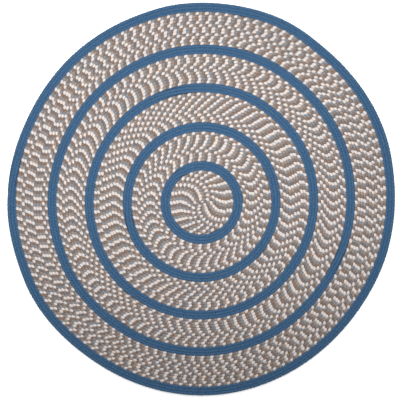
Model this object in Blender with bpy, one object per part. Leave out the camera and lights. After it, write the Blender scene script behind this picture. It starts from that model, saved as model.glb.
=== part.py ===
"""Round braided rug, lying flat on the floor.

A three-strand braid is wound out from an eye near the middle and laced turn to turn.
Tweed braid and plain blue braid take turns: a tweed core, then blue rings of three
turns between tweed bands of ten or eleven.  Each band is one solid: flat underneath,
with every turn of the braid raised as a rib on top.

A turn keeps close to the one inside it, and steps out by one turn's width in a short
stretch, at the same angle all through a band.  There the band's braid tapers in at its
start and out at its end, so that the edge between two colours has no jog.  The coil
isn't a true circle: its eye lies below the middle, and its edge is oval and uneven.
"""

import math
from typing import NamedTuple

import bmesh
import bpy

# Heights of the braid, in metres
CREST_HEIGHT = 0.011
GROOVE_HEIGHT = 0.0075
RIM_HEIGHT = 0.0055
RIM_UNDERCUT = 0.003
PIECE_GAP = 0.0003

# The winding
EYE_TURNS = 0.8
CIRCLE_STEPS = 48
STEP_ANGLE = 360.0 / CIRCLE_STEPS

# How the coil departs from a circle: how far, in metres, at its eye or its edge
EYE_DROP = 0.0184
OVAL = 0.0082
OVAL_ANGLE = 67.0
OVAL_GROWTH = 1
WAVE_GROWTH = 3


class Band(NamedTuple):
    """One colour of the coil.

    It has a number of turns, the width of each in metres, the angle at which they step
    out, counter-clockwise from +X, the angle that a step takes, and its yarn.
    """

    name: str
    turns: int
    turn_width: float
    step_out: float
    step_span: float
    yarn: str


class Wave(NamedTuple):
    """A high or low place of the uneven edge: where it is and how far out, in metres."""

    angle: float
    out: float


class Yarn(NamedTuple):
    """A yarn's colour, seen from a step away."""

    color: tuple
    roughness: float


BANDS = (
    # name, turns, turn width, step out, step span, yarn
    Band("tweed_core", 10, 0.0139, 285.0, 75.0, "tweed"),
    Band("blue_ring_1", 3, 0.0146, 127.5, 30.0, "blue"),
    Band("tweed_band_1", 10, 0.01367, 15.0, 45.0, "tweed"),
    Band("blue_ring_2", 3, 0.0143, 195.0, 30.0, "blue"),
    Band("tweed_band_2", 10, 0.01364, 322.5, 30.0, "tweed"),
    Band("blue_ring_3", 3, 0.0140, 105.0, 30.0, "blue"),
    Band("tweed_band_3", 10, 0.01332, 232.5, 30.0, "tweed"),
    Band("blue_ring_4", 3, 0.01383, 337.5, 30.0, "blue"),
    Band("tweed_band_4", 11, 0.0134, 75.0, 15.0, "tweed"),
    Band("blue_ring_5", 3, 0.01373, 172.5, 30.0, "blue"),
)

EDGE_WAVES = (
    # angle, out
    Wave(6.0, -0.0002),
    Wave(18.0, 0.0031),
    Wave(50.0, -0.0064),
    Wave(66.0, 0.0036),
    Wave(82.0, 0.0018),
    Wave(98.0, 0.0031),
    Wave(110.0, -0.0014),
    Wave(130.0, -0.0010),
    Wave(153.0, -0.0046),
    Wave(181.0, 0.0056),
    Wave(200.0, 0.0006),
    Wave(209.0, 0.0039),
    Wave(235.0, -0.0071),
    Wave(277.0, 0.0041),
    Wave(324.0, -0.0035),
    Wave(344.0, 0.0012),
)

YARNS = {
    "tweed": Yarn(color=(0.38, 0.34, 0.32, 1.0), roughness=0.95),
    "blue": Yarn(color=(0.055, 0.14, 0.27, 1.0), roughness=0.95),
}


def smooth(share):
    """Rise from 0 to 1 with soft ends."""
    share = min(max(share, 0.0), 1.0)
    return share * share * (3.0 - 2.0 * share)


def distance_out(turns):
    """Distance from the eye to the outer edge of a number of turns."""
    left = turns + EYE_TURNS
    distance = 0.0
    for band in BANDS:
        eye = EYE_TURNS if band is BANDS[0] else 0.0
        taken = min(left, band.turns + eye)
        distance += taken * band.turn_width
        left -= taken
    return distance


def edge_wave(angle):
    """How far the uneven edge stands out at an angle, eased from each place to the next."""
    for here, after in zip(EDGE_WAVES, EDGE_WAVES[1:] + EDGE_WAVES[:1]):
        span = (after.angle - here.angle) % 360.0
        past = (angle - here.angle) % 360.0
        if past <= span:
            return here.out + (after.out - here.out) * smooth(past / span)
    return 0.0


def lay(distance, angle):
    """Place on the floor of a point of the coil, from its distance and angle at the eye."""
    share = distance / RUG_RADIUS
    oval = OVAL * math.cos(2.0 * math.radians(angle - OVAL_ANGLE))
    radius = distance + oval * share**OVAL_GROWTH + edge_wave(angle) * share**WAVE_GROWTH
    x = radius * math.cos(math.radians(angle))
    y = radius * math.sin(math.radians(angle)) - EYE_DROP * (1.0 - share * share)
    return x, y


RUG_TURNS = sum(band.turns for band in BANDS)
RUG_RADIUS = distance_out(RUG_TURNS)


class CoilSolid:
    """Builds the closed mesh of one band, between two closed edges.

    The band's winding is counted in steps from the middle of its first step out.  At a
    step, the braid lies between the groove of that step and the groove one circle on.
    """

    def __init__(self, band, inside):
        self.band = band
        self.inside = inside
        self.outside = inside + band.turns
        taper = round(band.step_span / 2.0 / STEP_ANGLE)
        self.first = -taper
        self.last = band.turns * CIRCLE_STEPS + taper
        self.mesh = bmesh.new()

    def turns_inside(self, step):
        """Turns inside the braid's inner edge, kept between the band's own two edges."""
        wound = step / CIRCLE_STEPS
        nearest = math.floor(wound + 0.5)
        past = (wound - nearest) * 360.0 / self.band.step_span
        turns = self.inside + nearest - 1.0 + smooth(past + 0.5)
        return min(max(turns, self.inside), self.outside)

    def is_rim(self, step):
        """Whether a step's groove is the rug's free outer edge."""
        return self.outside == RUG_TURNS and step >= self.last

    def edge_distance(self, step):
        """Distance of a groove, with half a gap left at the band's own two edges."""
        turns = self.turns_inside(step)
        distance = distance_out(turns)
        if turns == self.outside:
            return distance - PIECE_GAP / 2.0
        if turns == self.inside and self.inside > 0:
            return distance + PIECE_GAP / 2.0
        return distance

    def point(self, distance, step, height):
        """New vertex at a distance from the eye, on the ray of a step."""
        x, y = lay(distance, self.band.step_out + step * STEP_ANGLE)
        return self.mesh.verts.new((x, y, height))

    def groove_points(self):
        """Groove points along the winding; the tapered tips lie on the closed edges."""
        grooves = {}
        for step in range(self.first, self.last + CIRCLE_STEPS):
            height = RIM_HEIGHT if self.is_rim(step) else GROOVE_HEIGHT
            if step == self.first + CIRCLE_STEPS:
                grooves[step] = grooves[self.first]
            else:
                grooves[step] = self.point(self.edge_distance(step), step, height)
        grooves[self.last + CIRCLE_STEPS] = grooves[self.last]
        return grooves

    def crest_points(self):
        """Crest points midway across the braid, lower where it tapers."""
        crests = {}
        for step in range(self.first + 1, self.last):
            inner = self.edge_distance(step)
            outer = self.edge_distance(step + CIRCLE_STEPS)
            fullness = min(1.0, (outer - inner) / self.band.turn_width)
            height = GROOVE_HEIGHT + (CREST_HEIGHT - GROOVE_HEIGHT) * fullness
            crests[step] = self.point((inner + outer) / 2.0, step, height)
        return crests

    def add_rib(self, grooves, crests):
        """Two slopes of the braid's rib for each step, closed to a point at both ends."""
        new_face = self.mesh.faces.new
        for step in range(self.first + 1, self.last - 1):
            across = step + CIRCLE_STEPS
            new_face((grooves[step], crests[step], crests[step + 1], grooves[step + 1]))
            new_face((crests[step], grooves[across], grooves[across + 1], crests[step + 1]))
        for tip, beside in ((self.first, self.first + 1), (self.last, self.last - 1)):
            across = beside + CIRCLE_STEPS
            new_face((grooves[tip], crests[beside], grooves[beside]))
            new_face((grooves[tip], grooves[across], crests[beside]))

    def edge_loop(self, grooves, start):
        """Groove points of one closed edge, one circle from a step."""
        return [grooves[step] for step in range(start, start + CIRCLE_STEPS)]

    def add_wall(self, loop, undercut):
        """Upright wall below a closed edge, and the loop of its feet on the floor."""
        feet = []
        for vertex in loop:
            out = vertex.co.xy.normalized() * undercut
            feet.append(self.mesh.verts.new((vertex.co.x - out.x, vertex.co.y - out.y, 0.0)))
        for spot in range(CIRCLE_STEPS):
            after = (spot + 1) % CIRCLE_STEPS
            self.mesh.faces.new((feet[spot], feet[after], loop[after], loop[spot]))
        return feet

    def add_eye(self, loop):
        """Low mound that closes the eye, where the braid starts."""
        middle = self.point(0.0, 0, CREST_HEIGHT)
        for spot in range(CIRCLE_STEPS):
            self.mesh.faces.new((middle, loop[spot], loop[(spot + 1) % CIRCLE_STEPS]))

    def build(self):
        """Return the finished mesh of the band."""
        grooves = self.groove_points()
        self.add_rib(grooves, self.crest_points())
        inner_edge = self.edge_loop(grooves, self.first)
        outer_edge = self.edge_loop(grooves, self.last)
        undercut = RIM_UNDERCUT if self.is_rim(self.last) else 0.0
        outer_feet = self.add_wall(outer_edge, undercut)
        if self.inside == 0:
            self.add_eye(inner_edge)
            self.mesh.faces.new(outer_feet)
        else:
            inner_feet = self.add_wall(inner_edge, 0.0)
            turn = (self.last - self.first) % CIRCLE_STEPS
            for spot in range(CIRCLE_STEPS):
                inner = (spot + turn) % CIRCLE_STEPS
                after = (inner + 1) % CIRCLE_STEPS
                outer_after = outer_feet[(spot + 1) % CIRCLE_STEPS]
                self.mesh.faces.new(
                    (inner_feet[inner], inner_feet[after], outer_after, outer_feet[spot])
                )
        bmesh.ops.recalc_face_normals(self.mesh, faces=self.mesh.faces)
        mesh = bpy.data.meshes.new(self.band.name)
        self.mesh.to_mesh(mesh)
        self.mesh.free()
        return mesh


def yarn_material(band):
    """Matt yarn material of a band's own."""
    yarn = YARNS[band.yarn]
    material = bpy.data.materials.new(band.name + "_yarn")
    material.use_nodes = True
    shader = material.node_tree.nodes["Principled BSDF"]
    shader.inputs["Base Color"].default_value = yarn.color
    shader.inputs["Roughness"].default_value = yarn.roughness
    shader.inputs["Metallic"].default_value = 0.0
    return material


def centre_on_floor(objects):
    """Move the meshes so that the middle of the rug's box lies over the origin."""
    points = [vertex.co for thing in objects for vertex in thing.data.vertices]
    middle = [
        (min(point[axis] for point in points) + max(point[axis] for point in points)) / 2.0
        for axis in (0, 1)
    ]
    for thing in objects:
        for vertex in thing.data.vertices:
            vertex.co.x -= middle[0]
            vertex.co.y -= middle[1]


def clear_scene():
    """Remove everything that the file opens with."""
    for thing in list(bpy.data.objects):
        bpy.data.objects.remove(thing, do_unlink=True)


def build_rug():
    """Build each band of the coil as its own object, from the eye to the edge."""
    collection = bpy.data.collections.new("braided_rug")
    bpy.context.scene.collection.children.link(collection)
    inside = 0
    for band in BANDS:
        mesh = CoilSolid(band, inside).build()
        mesh.materials.append(yarn_material(band))
        thing = bpy.data.objects.new(band.name, mesh)
        collection.objects.link(thing)
        inside += band.turns
    centre_on_floor(collection.objects)


clear_scene()
build_rug()
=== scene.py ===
"""Looks of the round braided rug: every strand of the braid, its yarns, and the studio.

The rug is one long three-strand braid, coiled from an eye near the middle and laced turn
to turn, in tweed and plain blue bands.  One repeat of a strand is modelled straight,
arrayed to the length of a band's braid, spaced as the braid lies, and bent along that
band's coil.  Sizes are in metres and angles in degrees, unless a class says otherwise.
"""

import logging
import math
from dataclasses import dataclass
from enum import Enum
from functools import cached_property

import bmesh
import bpy
import numpy as np
from mathutils import Matrix, Vector


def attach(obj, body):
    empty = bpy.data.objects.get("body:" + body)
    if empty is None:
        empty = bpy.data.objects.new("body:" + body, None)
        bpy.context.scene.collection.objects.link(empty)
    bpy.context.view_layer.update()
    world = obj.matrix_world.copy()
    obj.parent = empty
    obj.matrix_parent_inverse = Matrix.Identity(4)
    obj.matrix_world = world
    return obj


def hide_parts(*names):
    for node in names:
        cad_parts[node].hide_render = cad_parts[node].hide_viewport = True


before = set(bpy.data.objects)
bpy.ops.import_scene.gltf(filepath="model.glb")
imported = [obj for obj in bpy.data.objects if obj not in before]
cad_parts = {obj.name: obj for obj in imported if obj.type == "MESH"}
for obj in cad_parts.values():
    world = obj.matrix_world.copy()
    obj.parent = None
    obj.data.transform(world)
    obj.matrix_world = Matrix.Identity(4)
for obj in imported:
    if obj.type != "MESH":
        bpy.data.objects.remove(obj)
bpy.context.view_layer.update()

LOG = logging.getLogger("braided_rug")
MM = 0.001
FULL_TURN = 360.0
PLY_MAP = "ply_map"

Color = tuple[float, float, float]


class Yarn(Enum):
    """The four yarns of the rug."""

    CREAM = "cream"
    TAN = "tan"
    SLATE = "slate"
    BLUE = "blue"


class Slot(Enum):
    """Material slots of the rug's record."""

    TWEED = "tweed_braid"
    BLUE = "blue_braid"


@dataclass(frozen=True)
class Spacing:
    """Where the first strand's pads lie along a band's braid, in millimetres.

    Pad n lies lead + repeat n + growth n^2 + easing n^3 from the place where the band's
    first step out begins, and the braid is pushed on from there by the sway and the slips.

    Args:
        lead: Place of pad 0.
        repeat: Length of braid from one pad to the next, near pad 0.
        growth: How the braid loosens as it goes out.
        easing: How that loosening dies away.
        sway: How the braid is eased round the coil: the cosine and sine of the bearing
            that it is pushed on by, and those of twice the bearing.
        slips: How far it is pushed on at the start of the band and after each turn.
    """

    lead: float = 0.0
    repeat: float = 45.0
    growth: float = 0.0
    easing: float = 0.0
    sway: tuple[float, float, float, float] = (0.0, 0.0, 0.0, 0.0)
    slips: tuple[float, ...] = (0.0,)

    def place(self, number: float | np.ndarray) -> float | np.ndarray:
        """Place of a pad, or of a part of the way to the next, in metres, before the push."""
        bend = self.growth + number * self.easing
        return MM * (self.lead + number * (self.repeat + number * bend))

    def push(self, turns: np.ndarray, bearings: np.ndarray) -> np.ndarray:
        """How far the braid is pushed on.

        Args:
            turns: Turns wound since the band's start.
            bearings: Bearings from the eye, in radians.

        Returns:
            The push at each place, in metres.
        """
        once = self.sway[0] * np.cos(bearings) + self.sway[1] * np.sin(bearings)
        twice = self.sway[2] * np.cos(2.0 * bearings) + self.sway[3] * np.sin(2.0 * bearings)
        return MM * (once + twice + np.interp(turns, np.arange(len(self.slips)), self.slips))


@dataclass(frozen=True)
class Band:
    """One colour of the coil, as the maker would count it.

    Args:
        node: The CAD node that the band replaces.
        turns: Turns of braid in the band.
        turn_width: Width of one turn.
        step_out: Angle at which its turns step out, counter-clockwise from +X.
        step_span: Angle that a step out takes.
        yarns: The yarns of the three strands.
        slot: The record's material slot; not used.
        spacing: Where the first strand's pads lie.
    """

    node: str
    turns: int
    turn_width: float
    step_out: float
    step_span: float
    yarns: tuple[Yarn, Yarn, Yarn]
    slot: Slot
    spacing: Spacing = Spacing()


@dataclass(frozen=True)
class Wave:
    """A high or low place of the rug's uneven edge, at an angle."""

    angle: float
    out: float


TWEED = (Yarn.CREAM, Yarn.TAN, Yarn.SLATE)
PLAIN = (Yarn.BLUE, Yarn.BLUE, Yarn.BLUE)

BANDS = (
    # node, turns, turn width, step out, step span, yarns, slot, spacing
    Band("tweed_core", 10, 0.0139, 285.0, 75.0, TWEED, Slot.TWEED,
         Spacing(15.8, 41.6306, 0.0256815, -0.0000990778,
                 sway=(-2.0, 1.6, 0.1, 0.7),
                 slips=(10.3, 4.0, -3.5, -6.0, -6.9, -4.9, -0.9, -2.7, 2.7, 2.6, 5.3))),
    Band("blue_ring_1", 3, 0.0146, 127.5, 30.0, PLAIN, Slot.BLUE),
    Band("tweed_band_1", 10, 0.01367, 15.0, 45.0, TWEED, Slot.TWEED,
         Spacing(35.7, 44.15376, 0.001463907, 0.0,
                 sway=(-0.7, 2.0, 0.3, 0.7),
                 slips=(5.3, 0.2, -8.5, -6.4, -3.2, 2.4, 6.5, 5.5, -3.3, -0.1, 1.6))),
    Band("blue_ring_2", 3, 0.0143, 195.0, 30.0, PLAIN, Slot.BLUE),
    Band("tweed_band_2", 10, 0.01364, 322.5, 30.0, TWEED, Slot.TWEED,
         Spacing(41.6, 44.92082, 0.0001614751, 0.0,
                 sway=(-0.3, 1.6, 1.7, 0.6),
                 slips=(-5.9, -5.3, 0.2, -1.8, 5.0, 11.8, 6.8, 7.0, -18.4, -13.8, 14.3))),
    Band("blue_ring_3", 3, 0.0140, 105.0, 30.0, PLAIN, Slot.BLUE),
    Band("tweed_band_3", 10, 0.01332, 232.5, 30.0, TWEED, Slot.TWEED,
         Spacing(9.9, 45.53934, -0.000001602849, 0.0,
                 sway=(-2.7, 1.4, 1.9, 2.3),
                 slips=(-1.5, -7.3, 2.5, 6.0, 3.6, -0.5, -2.4, -0.4, -6.4, 0.6, 5.8))),
    Band("blue_ring_4", 3, 0.01383, 337.5, 30.0, PLAIN, Slot.BLUE),
    Band("tweed_band_4", 11, 0.0134, 75.0, 15.0, TWEED, Slot.TWEED,
         Spacing(27.6, 45.09757, 0.0002572703, 0.0,
                 sway=(-4.9, 0.4, 2.5, 2.3),
                 slips=(-8.1, 7.7, -5.4, 5.8, -6.0, -2.5, 7.7, 0.4, 1.8, -1.1, -2.1, 1.9))),
    Band("blue_ring_5", 3, 0.01373, 172.5, 30.0, PLAIN, Slot.BLUE),
)

EDGE_WAVES = (
    # angle, out
    Wave(6.0, -0.0002),
    Wave(18.0, 0.0031),
    Wave(50.0, -0.0064),
    Wave(66.0, 0.0036),
    Wave(82.0, 0.0018),
    Wave(98.0, 0.0031),
    Wave(110.0, -0.0014),
    Wave(130.0, -0.0010),
    Wave(153.0, -0.0046),
    Wave(181.0, 0.0056),
    Wave(200.0, 0.0006),
    Wave(209.0, 0.0039),
    Wave(235.0, -0.0071),
    Wave(277.0, 0.0041),
    Wave(324.0, -0.0035),
    Wave(344.0, 0.0012),
)


def smooth(share: float) -> float:
    """Rise from 0 to 1 with soft ends."""
    share = min(max(share, 0.0), 1.0)
    return share * share * (3.0 - 2.0 * share)


def deselect() -> None:
    """Deselect all, in object mode."""
    if bpy.context.object and bpy.context.object.mode != "OBJECT":
        bpy.ops.object.mode_set(mode="OBJECT")
    bpy.ops.object.select_all(action="DESELECT")


def pick(thing: bpy.types.Object) -> None:
    """Make one object the only selected and the active one.

    Args:
        thing: The object.
    """
    deselect()
    thing.select_set(True)
    bpy.context.view_layer.objects.active = thing


@dataclass(frozen=True)
class Coil:
    """How the braid is laid, with the same sizes as the solids.

    Args:
        eye_turns: Turn widths taken up by the eye.
        circle_steps: Corners of a turn of the solids.
        gap: Gap between two solids.
        eye_drop: How far the eye lies below the middle.
        oval: How far the edge stands out at the ends of the oval.
        oval_angle: Angle of the oval's long axis.
    """

    eye_turns: float = 0.8
    circle_steps: int = 48
    gap: float = 0.3 * MM
    eye_drop: float = 18.4 * MM
    oval: float = 8.2 * MM
    oval_angle: float = 67.0

    @property
    def turns(self) -> int:
        """Turns of braid in the whole rug."""
        return sum(band.turns for band in BANDS)

    @property
    def radius(self) -> float:
        """Distance from the eye to the rug's edge, before it is laid uneven."""
        return self.distance_out(self.turns)

    def distance_out(self, turns: float) -> float:
        """Distance from the eye to the outer edge of a number of turns.

        Args:
            turns: The number of turns, with a part of a turn or less than none.

        Returns:
            The distance, before the rug is laid uneven.
        """
        left = turns + self.eye_turns
        distance = 0.0
        for band in BANDS:
            eye = self.eye_turns if band is BANDS[0] else 0.0
            taken = min(left, band.turns + eye)
            distance += taken * band.turn_width
            left -= taken
        return distance

    def edge_wave(self, angle: float) -> float:
        """How far the uneven edge stands out.

        Args:
            angle: Angle from the eye.

        Returns:
            The distance out, eased from one high or low place to the next.
        """
        for here, after in zip(EDGE_WAVES, EDGE_WAVES[1:] + EDGE_WAVES[:1]):
            span = (after.angle - here.angle) % FULL_TURN
            past = (angle - here.angle) % FULL_TURN
            if past <= span:
                return here.out + (after.out - here.out) * smooth(past / span)
        return 0.0

    def lay(self, distance: float, angle: float) -> Vector:
        """Place of a point of the coil, before the rug is centred.

        Args:
            distance: Distance from the eye.
            angle: Angle from the eye, counter-clockwise from +X.

        Returns:
            The point on the floor.
        """
        share = distance / self.radius
        oval = self.oval * math.cos(2.0 * math.radians(angle - self.oval_angle))
        radius = distance + oval * share + self.edge_wave(angle) * share**3
        turn = math.radians(angle)
        drop = self.eye_drop * (1.0 - share * share)
        return Vector((radius * math.cos(turn), radius * math.sin(turn) - drop))

    def middle(self) -> Vector:
        """Find the middle of the solids' box, which lies over the origin.

        Returns:
            The middle, before the rug is centred.
        """
        reach = self.radius - self.gap / 2.0
        corner = FULL_TURN / self.circle_steps
        rim = [self.lay(reach, step * corner) for step in range(self.circle_steps)]
        low = Vector((min(p.x for p in rim), min(p.y for p in rim)))
        high = Vector((max(p.x for p in rim), max(p.y for p in rim)))
        return (low + high) / 2.0


@dataclass(frozen=True)
class Stop:
    """A point of a band's route: its place and how full the braid is there."""

    place: Vector
    fullness: float


@dataclass
class Route:
    """The middle line of one band's braid along its coil.

    Winding angles are counted from the middle of the band's first step out.

    Args:
        coil: The lay of the rug.
        band: The band.
        inside: Turns of the coil inside the band.
        point_angle: Winding angle from one point of the line to the next.
        least_fullness: Fullness of the braid's tapered tips.
        tail_cut: Winding angle cut off the rug's last tip, where it is thinnest.
        eye_start: Winding angle at which the first braid starts, in the eye.
    """

    coil: Coil
    band: Band
    inside: int
    point_angle: float = 1.5
    least_fullness: float = 0.15
    tail_cut: float = 9.0
    eye_start: float = -260.0

    @property
    def first_mark(self) -> float:
        """Winding angle where the first step out begins, and the pads' places with it."""
        return -self.band.step_span / 2.0

    @property
    def start(self) -> float:
        """Winding angle of the line's first point."""
        return self.first_mark if self.inside else self.eye_start

    @property
    def end(self) -> float:
        """Winding angle of the line's last point.

        Returns:
            The end of the band's last step out, or a little before it on the rim.
        """
        end = self.band.turns * FULL_TURN + self.band.step_span / 2.0
        is_rim = self.inside + self.band.turns == self.coil.turns
        return end - self.tail_cut if is_rim else end

    def edge(self, wound: float) -> float:
        """Distance of the braid's inner edge, kept between the band's own two edges.

        Args:
            wound: Winding angle.

        Returns:
            Distance from the eye, less than none where the first braid's edge passes it.
        """
        nearest = math.floor(wound / FULL_TURN + 0.5)
        past = (wound - nearest * FULL_TURN) / self.band.step_span
        turns = self.inside + nearest - 1.0 + smooth(past + 0.5)
        least = self.inside if self.inside else -1
        return self.coil.distance_out(min(max(turns, least), self.inside + self.band.turns))

    def stop(self, wound: float) -> Stop:
        """Find the braid's middle.

        Args:
            wound: Winding angle.

        Returns:
            Its place, and how full the braid is there.
        """
        inner, outer = self.edge(wound), self.edge(wound + FULL_TURN)
        place = self.coil.lay((inner + outer) / 2.0, self.band.step_out + wound)
        fullness = max((outer - inner) / self.band.turn_width, self.least_fullness)
        return Stop(place - self.coil.middle(), fullness)

    @cached_property
    def angles(self) -> np.ndarray:
        """Winding angles of the points of the line."""
        count = math.ceil((self.end - self.start) / self.point_angle)
        return np.linspace(self.start, self.end, count + 1)

    @cached_property
    def stops(self) -> list[Stop]:
        """The points of the line."""
        return [self.stop(float(angle)) for angle in self.angles]

    @cached_property
    def lengths(self) -> np.ndarray:
        """Lengths of line from its start to its points."""
        steps = [(b.place - a.place).length for a, b in zip(self.stops, self.stops[1:])]
        return np.cumsum([0.0, *steps])

    @property
    def lead_in(self) -> float:
        """Length of the line before the mark that pads are measured from."""
        return float(np.interp(self.first_mark, self.angles, self.lengths))

    def as_curve(self) -> bpy.types.Object:
        """Draw the line.

        Returns:
            A flat poly curve whose radius is the braid's fullness.
        """
        data = bpy.data.curves.new(self.band.node + "_route", "CURVE")
        data.dimensions = "2D"
        data.use_radius = True
        spline = data.splines.new("POLY")
        spline.points.add(len(self.stops) - 1)
        for point, stop in zip(spline.points, self.stops):
            point.co = (stop.place.x, stop.place.y, 0.0, 1.0)
            point.radius = stop.fullness
        route = bpy.data.objects.new(self.band.node + "_route", data)
        bpy.context.scene.collection.objects.link(route)
        return route


@dataclass(frozen=True)
class StrandShape:
    """One repeat of a strand of the flat-laid braid, straight along +X, +Y to the eye.

    The strand weaves between the other two: up over the top, down through the middle,
    under the bottom and back.  The braid lies on its side, so each strand shows on top
    once in a repeat, as one slanting pad.  A phase is a place along the repeat, which is
    360 degrees long.

    Args:
        repeat: Length of a full repeat.
        turn_width: Width of braid that the sizes are given for.
        weave: How far the strand swings to each side.
        lift: How far it rises above and dips below the middle.
        height: Height of the whole braid.
        pad_width: Width of the strand across its run, at the top and bottom.
        core_width: Its width where it passes the middle.
        core_thickness: Its thickness there.
        roll: How far it rolls over as it passes the middle.
        sides: Sides of the strand.
        stations: Phases of its rings.
        pad_phase: Phase of the middle of the pad.
    """

    repeat: float = 45.0 * MM
    turn_width: float = 13.7 * MM
    weave: float = 1.3 * MM
    lift: float = 2.1 * MM
    height: float = 11.0 * MM
    pad_width: float = 14.0 * MM
    core_width: float = 13.2 * MM
    core_thickness: float = 4.4 * MM
    roll: float = 5.0
    sides: int = 6
    stations: tuple[float, ...] = (0.0, 58.0, 90.0, 122.0, 180.0, 270.0)
    pad_phase: float = 90.0

    def side(self, phase: float) -> float:
        """How far the strand has swung towards the eye."""
        return -self.weave * math.sin(2.0 * math.radians(phase))

    def heading(self, before: float, after: float) -> float:
        """Angle of the strand's run between two phases, in radians."""
        run = (after - before) / FULL_TURN * self.repeat
        return math.atan2(self.side(after) - self.side(before), run)

    def add_ring(self, phase: float, heading: float) -> None:
        """Add one ring of the strand, in edit mode.

        Args:
            phase: Its phase.
            heading: Angle of the strand's run there, in radians.
        """
        turn = math.radians(phase)
        fullness = abs(math.sin(turn))
        pad_thickness = self.height - 2.0 * self.lift
        width = self.core_width + (self.pad_width - self.core_width) * fullness
        thickness = self.core_thickness + (pad_thickness - self.core_thickness) * fullness
        half_side = math.pi / self.sides
        rise = self.height / 2.0 + self.lift * math.sin(turn)
        bpy.ops.mesh.primitive_circle_add(vertices=self.sides, radius=0.5, fill_type="NOTHING")
        ring = bpy.context.object.data
        mesh = bmesh.from_edit_mesh(ring)
        picked = [vertex for vertex in mesh.verts if vertex.select]
        # From the last line up: stand the circle across the run with a corner on top,
        # stretch it to size, roll it, turn it to its heading and set it in place.
        place = (
            Matrix.Translation((self.repeat * phase / FULL_TURN, self.side(phase), rise))
            @ Matrix.Rotation(heading, 4, "Z")
            @ Matrix.Rotation(-math.radians(self.roll) * math.cos(turn), 4, "X")
            @ Matrix.Diagonal((1.0, width / math.cos(half_side), thickness, 1.0))
            @ Matrix.Rotation(math.pi / 2.0 + half_side, 4, "X")
            @ Matrix.Rotation(math.pi / 2.0, 4, "Y")
            @ Matrix.Rotation(math.pi / 2.0, 4, "Z")
        )
        bmesh.ops.transform(mesh, matrix=place, verts=picked)
        bmesh.update_edit_mesh(ring)

    def model(self) -> bpy.types.Object:
        """Model the repeat: its rings, bridged one to the next.

        Returns:
            An open tube whose two ends match, with the ply map laid along it.
        """
        deselect()
        bpy.ops.mesh.primitive_circle_add(vertices=self.sides, radius=0.5)
        strand = bpy.context.object
        strand.name = "strand_repeat"
        bpy.ops.object.mode_set(mode="EDIT")
        bpy.ops.mesh.delete(type="VERT")
        closing = [FULL_TURN + phase for phase in self.stations[:2]]
        phases = (self.stations[-1] - FULL_TURN, *self.stations, *closing)
        for before, phase, after in zip(phases, phases[1:], phases[2:]):
            bpy.ops.mesh.select_all(action="DESELECT")
            self.add_ring(phase, self.heading(before, after))
        for start in range(0, self.sides * len(self.stations), self.sides):
            bpy.ops.mesh.select_all(action="DESELECT")
            mesh = bmesh.from_edit_mesh(strand.data)
            mesh.verts.ensure_lookup_table()
            for vertex in mesh.verts[start : start + 2 * self.sides]:
                vertex.select = True
            mesh.select_flush_mode()
            bmesh.update_edit_mesh(strand.data)
            bpy.ops.mesh.bridge_edge_loops()
        bpy.ops.mesh.select_all(action="SELECT")
        bpy.ops.mesh.normals_make_consistent(inside=False)
        bpy.ops.object.mode_set(mode="OBJECT")
        bpy.ops.object.shade_smooth()
        self.map_plies(strand)
        return strand

    def map_plies(self, strand: bpy.types.Object) -> None:
        """Lay the ply map: once along the repeat and once around the strand.

        Args:
            strand: The repeat, whose vertices are in order, ring after ring.
        """
        mesh = strand.data
        layer = mesh.uv_layers.get(PLY_MAP) or mesh.uv_layers.new(name=PLY_MAP)
        phases = (*self.stations, FULL_TURN + self.stations[0])
        for face in mesh.polygons:
            corners = {vertex % self.sides for vertex in face.vertices}
            wraps = corners == {0, self.sides - 1}
            for loop, vertex in zip(face.loop_indices, face.vertices):
                ring, corner = divmod(vertex, self.sides)
                around = 1.0 if wraps and corner == 0 else corner / self.sides
                layer.data[loop].uv = (phases[ring] / FULL_TURN, around)


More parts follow.
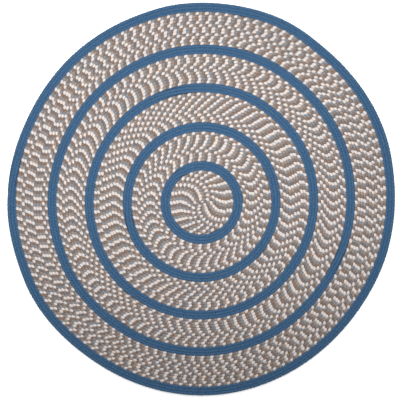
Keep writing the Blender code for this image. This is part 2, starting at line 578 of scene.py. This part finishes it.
@dataclass
class BandBraid:
    """The braid of one band: three strands, each a piece of its own.

    Args:
        route: The middle line of the braid.
        shape: The strand's shape.
        unevenness: How far the hand of the braid pushes the yarn in and out.
        unevenness_size: Length of yarn over which it does so.
        slip: How far a crossing is usually pulled along the braid, one way or the other.
        most_slip: The most that one is pulled, as a multiple of the usual slip.
        join: Distance within which the ends of two repeats are joined.
        spare_repeats: Repeats tried before and after those that the line should hold.
    """

    route: Route
    shape: StrandShape
    unevenness: float = 0.5 * MM
    unevenness_size: float = 0.022
    slip: float = 1.6 * MM
    most_slip: float = 2.0
    join: float = 0.05 * MM
    spare_repeats: int = 2

    @property
    def strands(self) -> int:
        """Strands in the braid."""
        return len(self.route.band.yarns)

    @property
    def starts_in_eye(self) -> bool:
        """Whether the band is the one that starts in the eye."""
        return self.route.inside == 0

    def laid(self, numbers: np.ndarray) -> np.ndarray:
        """Find where parts of the braid lie along the line.

        Args:
            numbers: Their numbers, counted as the first strand's pads are.

        Returns:
            Lengths of line from its start.
        """
        route, spacing = self.route, self.route.band.spacing
        lengths = spacing.place(numbers) + route.lead_in
        wound = np.interp(lengths, route.lengths, route.angles)
        bearings = np.radians(route.band.step_out + wound)
        return lengths + spacing.push(wound / FULL_TURN, bearings)

    def reach(self, own_place: float) -> tuple[float, int]:
        """Find where a strand starts, and its number of repeats.

        Args:
            own_place: How far the strand is ahead of the first, in repeats.

        Returns:
            The number of its start, and the count of repeats that the line holds.  A
            strand that is cut off in the eye has one more, before the line starts.
        """
        length = self.route.lengths[-1]
        before = math.ceil(self.route.lead_in / self.shape.repeat) + self.spare_repeats
        after = math.ceil(length / self.shape.repeat) + before
        numbers = np.arange(-before, after) + own_place
        lengths = self.laid(numbers)
        held = numbers[(lengths >= 0.0) & (lengths <= length)]
        early = 1 if self.starts_in_eye else 0
        return float(held[0]) - early, len(held) - 1 + early

    def lengthen(self, strand: bpy.types.Object, count: int) -> None:
        """Array the straight strand.

        Args:
            strand: One repeat of it.
            count: Its number of repeats.
        """
        array = strand.modifiers.new("repeats", "ARRAY")
        array.count = count
        array.use_relative_offset = False
        array.use_constant_offset = True
        array.constant_offset_displace = (self.shape.repeat, 0.0, 0.0)
        array.use_merge_vertices = True
        array.merge_threshold = self.join
        array.offset_u = 1.0
        bpy.ops.object.modifier_apply(modifier=array.name)

    def space(self, strand: bpy.types.Object, first: float, slips: np.ndarray) -> None:
        """Space the strand's pads along the braid, and fit its width to the band.

        Args:
            strand: The straight strand.
            first: Number of the place where the strand starts.
            slips: How far each of its crossings, two to a repeat, is pulled along.
        """
        places = np.empty(len(strand.data.vertices) * 3)
        strand.data.vertices.foreach_get("co", places)
        places = places.reshape(-1, 3)
        repeats = places[:, 0] / self.shape.repeat
        slipped = np.interp(2.0 * repeats, np.arange(len(slips)), slips)
        places[:, 0] = self.laid(repeats + first) + slipped
        places[:, 1] *= self.route.band.turn_width / self.shape.turn_width
        strand.data.vertices.foreach_set("co", places.ravel())
        strand.data.update()

    def cut_at_eye(self, strand: bpy.types.Object) -> None:
        """Cut a strand off square where the line starts.

        Args:
            strand: The straight strand, spaced.
        """
        bpy.ops.object.mode_set(mode="EDIT")
        bpy.ops.mesh.select_all(action="SELECT")
        bpy.ops.mesh.bisect(plane_co=(0.0, 0.0, 0.0), plane_no=(1.0, 0.0, 0.0), clear_inner=True)
        bpy.ops.object.mode_set(mode="OBJECT")

    def bend(self, strand: bpy.types.Object, line: bpy.types.Object) -> None:
        """Bend a strand along the band's coil.

        Args:
            strand: The straight strand, spaced.
            line: The route as a curve.
        """
        curve = strand.modifiers.new("coil", "CURVE")
        curve.object = line
        curve.deform_axis = "POS_X"
        bpy.ops.object.modifier_apply(modifier=curve.name)

    def roughen(self, strand: bpy.types.Object) -> None:
        """Push the yarn slightly in and out, as a hand-fed braid is.

        Args:
            strand: The bent strand.
        """
        clouds = bpy.data.textures.new(strand.name + "_hand", "CLOUDS")
        clouds.noise_scale = self.unevenness_size
        push = strand.modifiers.new("hand", "DISPLACE")
        push.texture = clouds
        push.texture_coords = "LOCAL"
        push.strength = self.unevenness
        push.mid_level = 0.5
        bpy.ops.object.modifier_apply(modifier=push.name)

    def close_ends(self, strand: bpy.types.Object) -> None:
        """Cap a strand's ends and keep it on the floor.

        Only an end with no more corners than a ring is capped.  The cut in the eye gives
        one strand of the core an end with more, and that end stays open.

        Args:
            strand: The bent strand.
        """
        bpy.ops.object.mode_set(mode="EDIT")
        bpy.ops.mesh.select_all(action="DESELECT")
        bpy.ops.mesh.select_mode(type="EDGE")
        bpy.ops.mesh.select_non_manifold(extend=False, use_boundary=True, use_wire=False)
        bpy.ops.mesh.fill_holes(sides=self.shape.sides)
        bpy.ops.mesh.select_all(action="SELECT")
        bpy.ops.mesh.normals_make_consistent(inside=False)
        bpy.ops.object.mode_set(mode="OBJECT")
        for vertex in strand.data.vertices:
            vertex.co.z = max(vertex.co.z, 0.0)

    def strand(
        self, repeat: bpy.types.Object, line: bpy.types.Object, number: int
    ) -> bpy.types.Object:
        """Make one of the strands.

        Args:
            repeat: The modelled repeat, which is copied with its own mesh.
            line: The route as a curve.
            number: 0, 1 or 2, a third of a repeat apart.

        Returns:
            The finished strand.
        """
        route = self.route
        first, count = self.reach(number / self.strands - self.shape.pad_phase / FULL_TURN)
        name = f"{route.band.node}_strand_{number + 1}"
        piece = bpy.data.objects.new(name, repeat.data.copy())
        piece.data.name = name
        bpy.context.scene.collection.objects.link(piece)
        pick(piece)
        self.lengthen(piece, count)
        hand = np.random.default_rng(self.strands * route.inside + number)
        drawn = hand.standard_normal(2 * count + 1)
        slips = self.slip * np.clip(drawn, -self.most_slip, self.most_slip)
        self.space(piece, first, slips)
        if self.starts_in_eye:
            self.cut_at_eye(piece)
        self.bend(piece, line)
        self.roughen(piece)
        self.close_ends(piece)
        return piece

    def build(
        self, repeat: bpy.types.Object, finishes: dict[Yarn, bpy.types.Material]
    ) -> list[bpy.types.Object]:
        """Make and dress the strands of the band.

        Args:
            repeat: The modelled repeat.
            finishes: The material of each yarn.

        Returns:
            The pieces.
        """
        band = self.route.band
        line = self.route.as_curve()
        pieces = []
        for number, yarn in enumerate(band.yarns):
            piece = self.strand(repeat, line, number)
            piece.data.materials.clear()
            piece.data.materials.append(finishes[yarn])
            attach(piece, "root")
            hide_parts(band.node)
            pieces.append(piece)
            LOG.info("%s: %d faces", piece.name, len(piece.data.polygons))
        bpy.data.objects.remove(line, do_unlink=True)
        self.declare()
        return pieces

    def declare(self) -> None:
        """Work out how far the band's inner and outer edges lie from the eye; the distances are
        not used.
        """
        coil, band = self.route.coil, self.route.band
        outer = coil.distance_out(self.route.inside + band.turns)
        inner = coil.distance_out(self.route.inside) if self.route.inside else 0.0


class Bench:
    """The nodes of a new material, and short ways to add to them."""

    def __init__(self, name: str) -> None:
        """Lay out a material with its shader, and the place on the piece.

        Args:
            name: Name of the material.
        """
        self.material = bpy.data.materials.new(name)
        self.material.use_nodes = True
        self.nodes = self.material.node_tree.nodes
        self.shader = self.nodes["Principled BSDF"]
        self.place = self.nodes.new("ShaderNodeTexCoord").outputs["Object"]

    def feed(self, socket: bpy.types.NodeSocket, value: bpy.types.NodeSocket | float) -> None:
        """Feed a socket.

        Args:
            socket: The input to feed.
            value: An output to link to it, or a number to set.
        """
        if isinstance(value, (int, float)):
            socket.default_value = value
        else:
            self.material.node_tree.links.new(value, socket)

    def math(self, kind: str, *values: bpy.types.NodeSocket | float) -> bpy.types.NodeSocket:
        """Add a Math node.

        Args:
            kind: Its operation.
            values: Its outputs or numbers to work on.

        Returns:
            Its result.
        """
        node = self.nodes.new("ShaderNodeMath")
        node.operation = kind
        for socket, value in zip(node.inputs, values):
            self.feed(socket, value)
        return node.outputs[0]

    def noise(self, scale: float, detail: float) -> bpy.types.NodeSocket:
        """Add noise that stays with the piece.

        Args:
            scale: How fine it is.
            detail: How many finer steps it has.

        Returns:
            Its height, about one half on the whole.
        """
        node = self.nodes.new("ShaderNodeTexNoise")
        node.inputs["Scale"].default_value = scale
        node.inputs["Detail"].default_value = detail
        self.feed(node.inputs["Vector"], self.place)
        return node.outputs["Fac"]


@dataclass(frozen=True)
class YarnFinish:
    """A matt yarn of several plies twisted together.

    Args:
        name: Name of the material.
        plies: Colours of the plies around the strand.
        drift: Colour that they turn to from place to place, as heather yarn does.
        mottle: How much the shade wanders from place to place.
        ply_rounds: Times that the row of plies comes round the strand.
        ply_twists: Times that the row of plies passes along it in a repeat.
        ply_depth: Height of the plies.
        yarns: Yarns laid side by side in a ply.
        mottle_scale: How fine the wandering of the shade is.
        mottle_detail: Finer steps of it.
        drift_scale: How fine the turning to the other colour is.
        drift_detail: Finer steps of it.
        drift_gain: How sharply the places with the other colour part from the rest.
        drift_offset: How rare those places are.
        fibre_scale: How fine the fibres are.
        fibre_detail: Finer steps of them.
        fibre_shade: How much the fibres shade the colour.
        painted_groove_shade: Painted shade: how much darker the grooves between the yarns are
            painted, with the crowns of the yarns painted lighter.
        yarn_mean: Mean roundness of a yarn, at which the painted shade neither darkens nor
            lightens the colour.
        yarn_relief: Height of the yarns, as a share of the plies'.
        fibre_relief: Height of the fibres, as a share of the plies'.
        relief: Strength of the relief.
        roughness: Least roughness.
        roughness_spread: How much rougher the fibres make it.
        shine: What is left of the shine.
    """

    name: str
    plies: tuple[Color, ...]
    drift: Color
    mottle: float = 0.34
    ply_rounds: float = 2.0
    ply_twists: float = 2.0
    ply_depth: float = 1.0 * MM
    yarns: int = 3
    mottle_scale: float = 110.0
    mottle_detail: float = 3.0
    drift_scale: float = 60.0
    drift_detail: float = 1.0
    drift_gain: float = 4.2
    drift_offset: float = 1.62
    fibre_scale: float = 900.0
    fibre_detail: float = 2.0
    fibre_shade: float = 0.3
    painted_groove_shade: float = 0.2
    yarn_mean: float = 0.635
    yarn_relief: float = 0.35
    fibre_relief: float = 0.4
    relief: float = 0.7
    roughness: float = 0.8
    roughness_spread: float = 0.2
    shine: float = 0.2

    def twist(self, bench: Bench) -> bpy.types.NodeSocket:
        """Wind the plies around the strand.

        Args:
            bench: The nodes.

        Returns:
            The number of plies passed, with the part of the next one.
        """
        uv = bench.nodes.new("ShaderNodeUVMap")
        uv.uv_map = PLY_MAP
        split = bench.nodes.new("ShaderNodeSeparateXYZ")
        bench.feed(split.inputs[0], uv.outputs["UV"])
        count = len(self.plies)
        spiral = bench.math("MULTIPLY", split.outputs["Y"], self.ply_rounds * count)
        return bench.math("MULTIPLY_ADD", split.outputs["X"], self.ply_twists * count, spiral)

    def color(self, bench: Bench, twist: bpy.types.NodeSocket) -> bpy.types.NodeSocket:
        """Colour the plies, and let them turn to the other colour here and there.

        Args:
            bench: The nodes.
            twist: The number of plies passed.

        Returns:
            The colour, before it is shaded.
        """
        count = len(self.plies)
        ply = bench.math("FLOOR", bench.math("WRAP", twist, float(count), 0.0))
        ramp = bench.nodes.new("ShaderNodeValToRGB")
        ramp.color_ramp.interpolation = "CONSTANT"
        steps = ramp.color_ramp.elements
        steps.remove(steps[-1])
        for number, color in enumerate(self.plies):
            step = steps.new((number - 0.5) / count) if number else steps[0]
            step.color = (*color, 1.0)
        bench.feed(ramp.inputs["Fac"], bench.math("DIVIDE", ply, float(count)))
        drift = bench.noise(self.drift_scale, self.drift_detail)
        mix = bench.nodes.new("ShaderNodeMix")
        mix.data_type = "RGBA"
        turned = bench.math("MULTIPLY_ADD", drift, self.drift_gain, -self.drift_offset)
        bench.feed(mix.inputs["Factor"], turned)
        bench.feed(mix.inputs["A"], ramp.outputs["Color"])
        mix.inputs["B"].default_value = (*self.drift, 1.0)
        return mix.outputs["Result"]

    def material(self) -> bpy.types.Material:
        """Make the yarn's material.

        Returns:
            A material that follows the piece's own ply map.
        """
        bench = Bench(self.name)
        shader = bench.shader
        twist = self.twist(bench)
        turn = bench.math("MULTIPLY", twist, math.pi)
        round_ply = bench.math("ABSOLUTE", bench.math("SINE", turn))
        fine_turn = bench.math("MULTIPLY", turn, float(self.yarns))
        round_yarn = bench.math("ABSOLUTE", bench.math("SINE", fine_turn))
        mottle = bench.noise(self.mottle_scale, self.mottle_detail)
        fibre = bench.noise(self.fibre_scale, self.fibre_detail)

        shade = bench.math("MULTIPLY_ADD", mottle, self.mottle * 2.0, 1.0 - self.mottle)
        # Painted shade: besides the random mottle and fibre tone, the colour is darkened in the
        # grooves between the yarns and lightened on their crowns.
        for part, share, mean in (
            (fibre, self.fibre_shade, 0.5),
            (round_yarn, self.painted_groove_shade, self.yarn_mean),
        ):
            less = bench.math("SUBTRACT", shade, share * mean)
            shade = bench.math("MULTIPLY_ADD", part, share, less)
        tint = bench.nodes.new("ShaderNodeVectorMath")
        tint.operation = "SCALE"
        bench.feed(tint.inputs[0], self.color(bench, twist))
        bench.feed(tint.inputs["Scale"], shade)
        bench.feed(shader.inputs["Base Color"], tint.outputs[0])

        relief = bench.math("MULTIPLY_ADD", round_yarn, self.yarn_relief, round_ply)
        relief = bench.math("MULTIPLY_ADD", fibre, self.fibre_relief, relief)
        bump = bench.nodes.new("ShaderNodeBump")
        bump.inputs["Strength"].default_value = self.relief
        bump.inputs["Distance"].default_value = self.ply_depth
        bench.feed(bump.inputs["Height"], relief)
        bench.feed(shader.inputs["Normal"], bump.outputs["Normal"])
        rough = bench.math("MULTIPLY_ADD", fibre, self.roughness_spread, self.roughness)
        bench.feed(shader.inputs["Roughness"], rough)
        shader.inputs["Specular IOR Level"].default_value = self.shine
        return bench.material


FINISHES = {
    Yarn.CREAM: YarnFinish(
        "cream_yarn",
        plies=((0.484, 0.424, 0.386), (0.436, 0.386, 0.363), (0.495, 0.440, 0.412)),
        drift=(0.450, 0.416, 0.408),
        mottle=0.20,
    ),
    Yarn.TAN: YarnFinish(
        "tan_yarn",
        plies=((0.190, 0.110, 0.072), (0.136, 0.101, 0.079), (0.175, 0.113, 0.081)),
        drift=(0.113, 0.108, 0.111),
    ),
    Yarn.SLATE: YarnFinish(
        "slate_yarn",
        plies=((0.131, 0.158, 0.191), (0.161, 0.164, 0.172), (0.141, 0.162, 0.185)),
        drift=(0.227, 0.173, 0.139),
    ),
    Yarn.BLUE: YarnFinish(
        "blue_yarn",
        plies=((0.027, 0.0728, 0.1456), (0.0333, 0.0835, 0.156), (0.0242, 0.0653, 0.132)),
        drift=(0.030, 0.076, 0.1414),
        mottle=0.42,
    ),
}


@dataclass(frozen=True)
class Studio:
    """Pale floor, soft light and the camera straight above the rug.

    Args:
        frame_width: Width of floor that the picture takes in.
        lens: Focal length of the long lens, in millimetres.
        sensor: Sensor width, in millimetres.
        aim: Point of the floor in the middle of the picture.
        face_height: Height above the floor at which the frame width is taken.
        sight: How far the camera sees.
        floor_size: Side of the floor.
        floor_drop: How far the floor lies under the rug.
        floor_color: Colour of the floor.
        floor_roughness: Its roughness.
        key_place: Middle of the soft light, above the far side.
        key_size: Length and depth of the soft light.
        key_power: Its power, in watts.
        surround: Strength of the even surround.
        surround_color: Its colour.
    """

    frame_width: float = 1.8832
    lens: float = 95.0
    sensor: float = 36.0
    aim: tuple[float, float] = (-0.0047, -0.0050)
    face_height: float = 5.0 * MM
    sight: float = 50.0
    floor_size: float = 24.0
    floor_drop: float = 0.2 * MM
    floor_color: Color = (0.98, 0.98, 0.98)
    floor_roughness: float = 0.9
    key_place: tuple[float, float, float] = (-0.12, 0.49, 0.77)
    key_size: tuple[float, float] = (2.63, 1.99)
    key_power: float = 28.8
    surround: float = 0.935
    surround_color: Color = (1.0, 1.0, 1.0)

    def floor(self) -> None:
        """Lay a plain pale floor."""
        deselect()
        place = (0.0, 0.0, -self.floor_drop)
        bpy.ops.mesh.primitive_plane_add(size=self.floor_size, location=place)
        floor = bpy.context.object
        floor.name = "floor"
        paint = bpy.data.materials.new("pale_floor")
        paint.use_nodes = True
        shader = paint.node_tree.nodes["Principled BSDF"]
        shader.inputs["Base Color"].default_value = (*self.floor_color, 1.0)
        shader.inputs["Roughness"].default_value = self.floor_roughness
        floor.data.materials.append(paint)

    def lights(self) -> None:
        """Hang a wide soft light above the far side, in an even pale surround."""
        deselect()
        bpy.ops.object.light_add(type="AREA", location=self.key_place)
        key = bpy.context.object
        key.name = "soft_key"
        key.data.shape = "RECTANGLE"
        key.data.size, key.data.size_y = self.key_size
        key.data.energy = self.key_power
        world = bpy.data.worlds.new("pale_surround")
        world.use_nodes = True
        background = world.node_tree.nodes["Background"]
        background.inputs["Color"].default_value = (*self.surround_color, 1.0)
        background.inputs["Strength"].default_value = self.surround
        bpy.context.scene.world = world
        bpy.context.scene.view_settings.view_transform = "Standard"

    def camera(self) -> None:
        """Set the camera straight above, with the top of the picture towards +Y."""
        height = self.face_height + self.frame_width * self.lens / self.sensor
        deselect()
        bpy.ops.object.camera_add(location=(*self.aim, height), rotation=(0.0, 0.0, 0.0))
        camera = bpy.context.object
        camera.data.sensor_width = self.sensor
        camera.data.lens = self.lens
        camera.data.clip_end = self.sight
        bpy.context.scene.camera = camera


def main() -> None:
    """Build the rug band by band, from the eye to the edge, and set the studio around it."""
    logging.basicConfig(level=logging.INFO, format="%(name)s: %(message)s")
    finishes = {yarn: finish.material() for yarn, finish in FINISHES.items()}
    shape = StrandShape()
    repeat = shape.model()
    coil = Coil()
    inside = 0
    for band in BANDS:
        BandBraid(Route(coil, band, inside), shape).build(repeat, finishes)
        inside += band.turns
    bpy.data.objects.remove(repeat, do_unlink=True)
    studio = Studio()
    studio.floor()
    studio.lights()
    studio.camera()


if __name__ == "__main__":
    main()
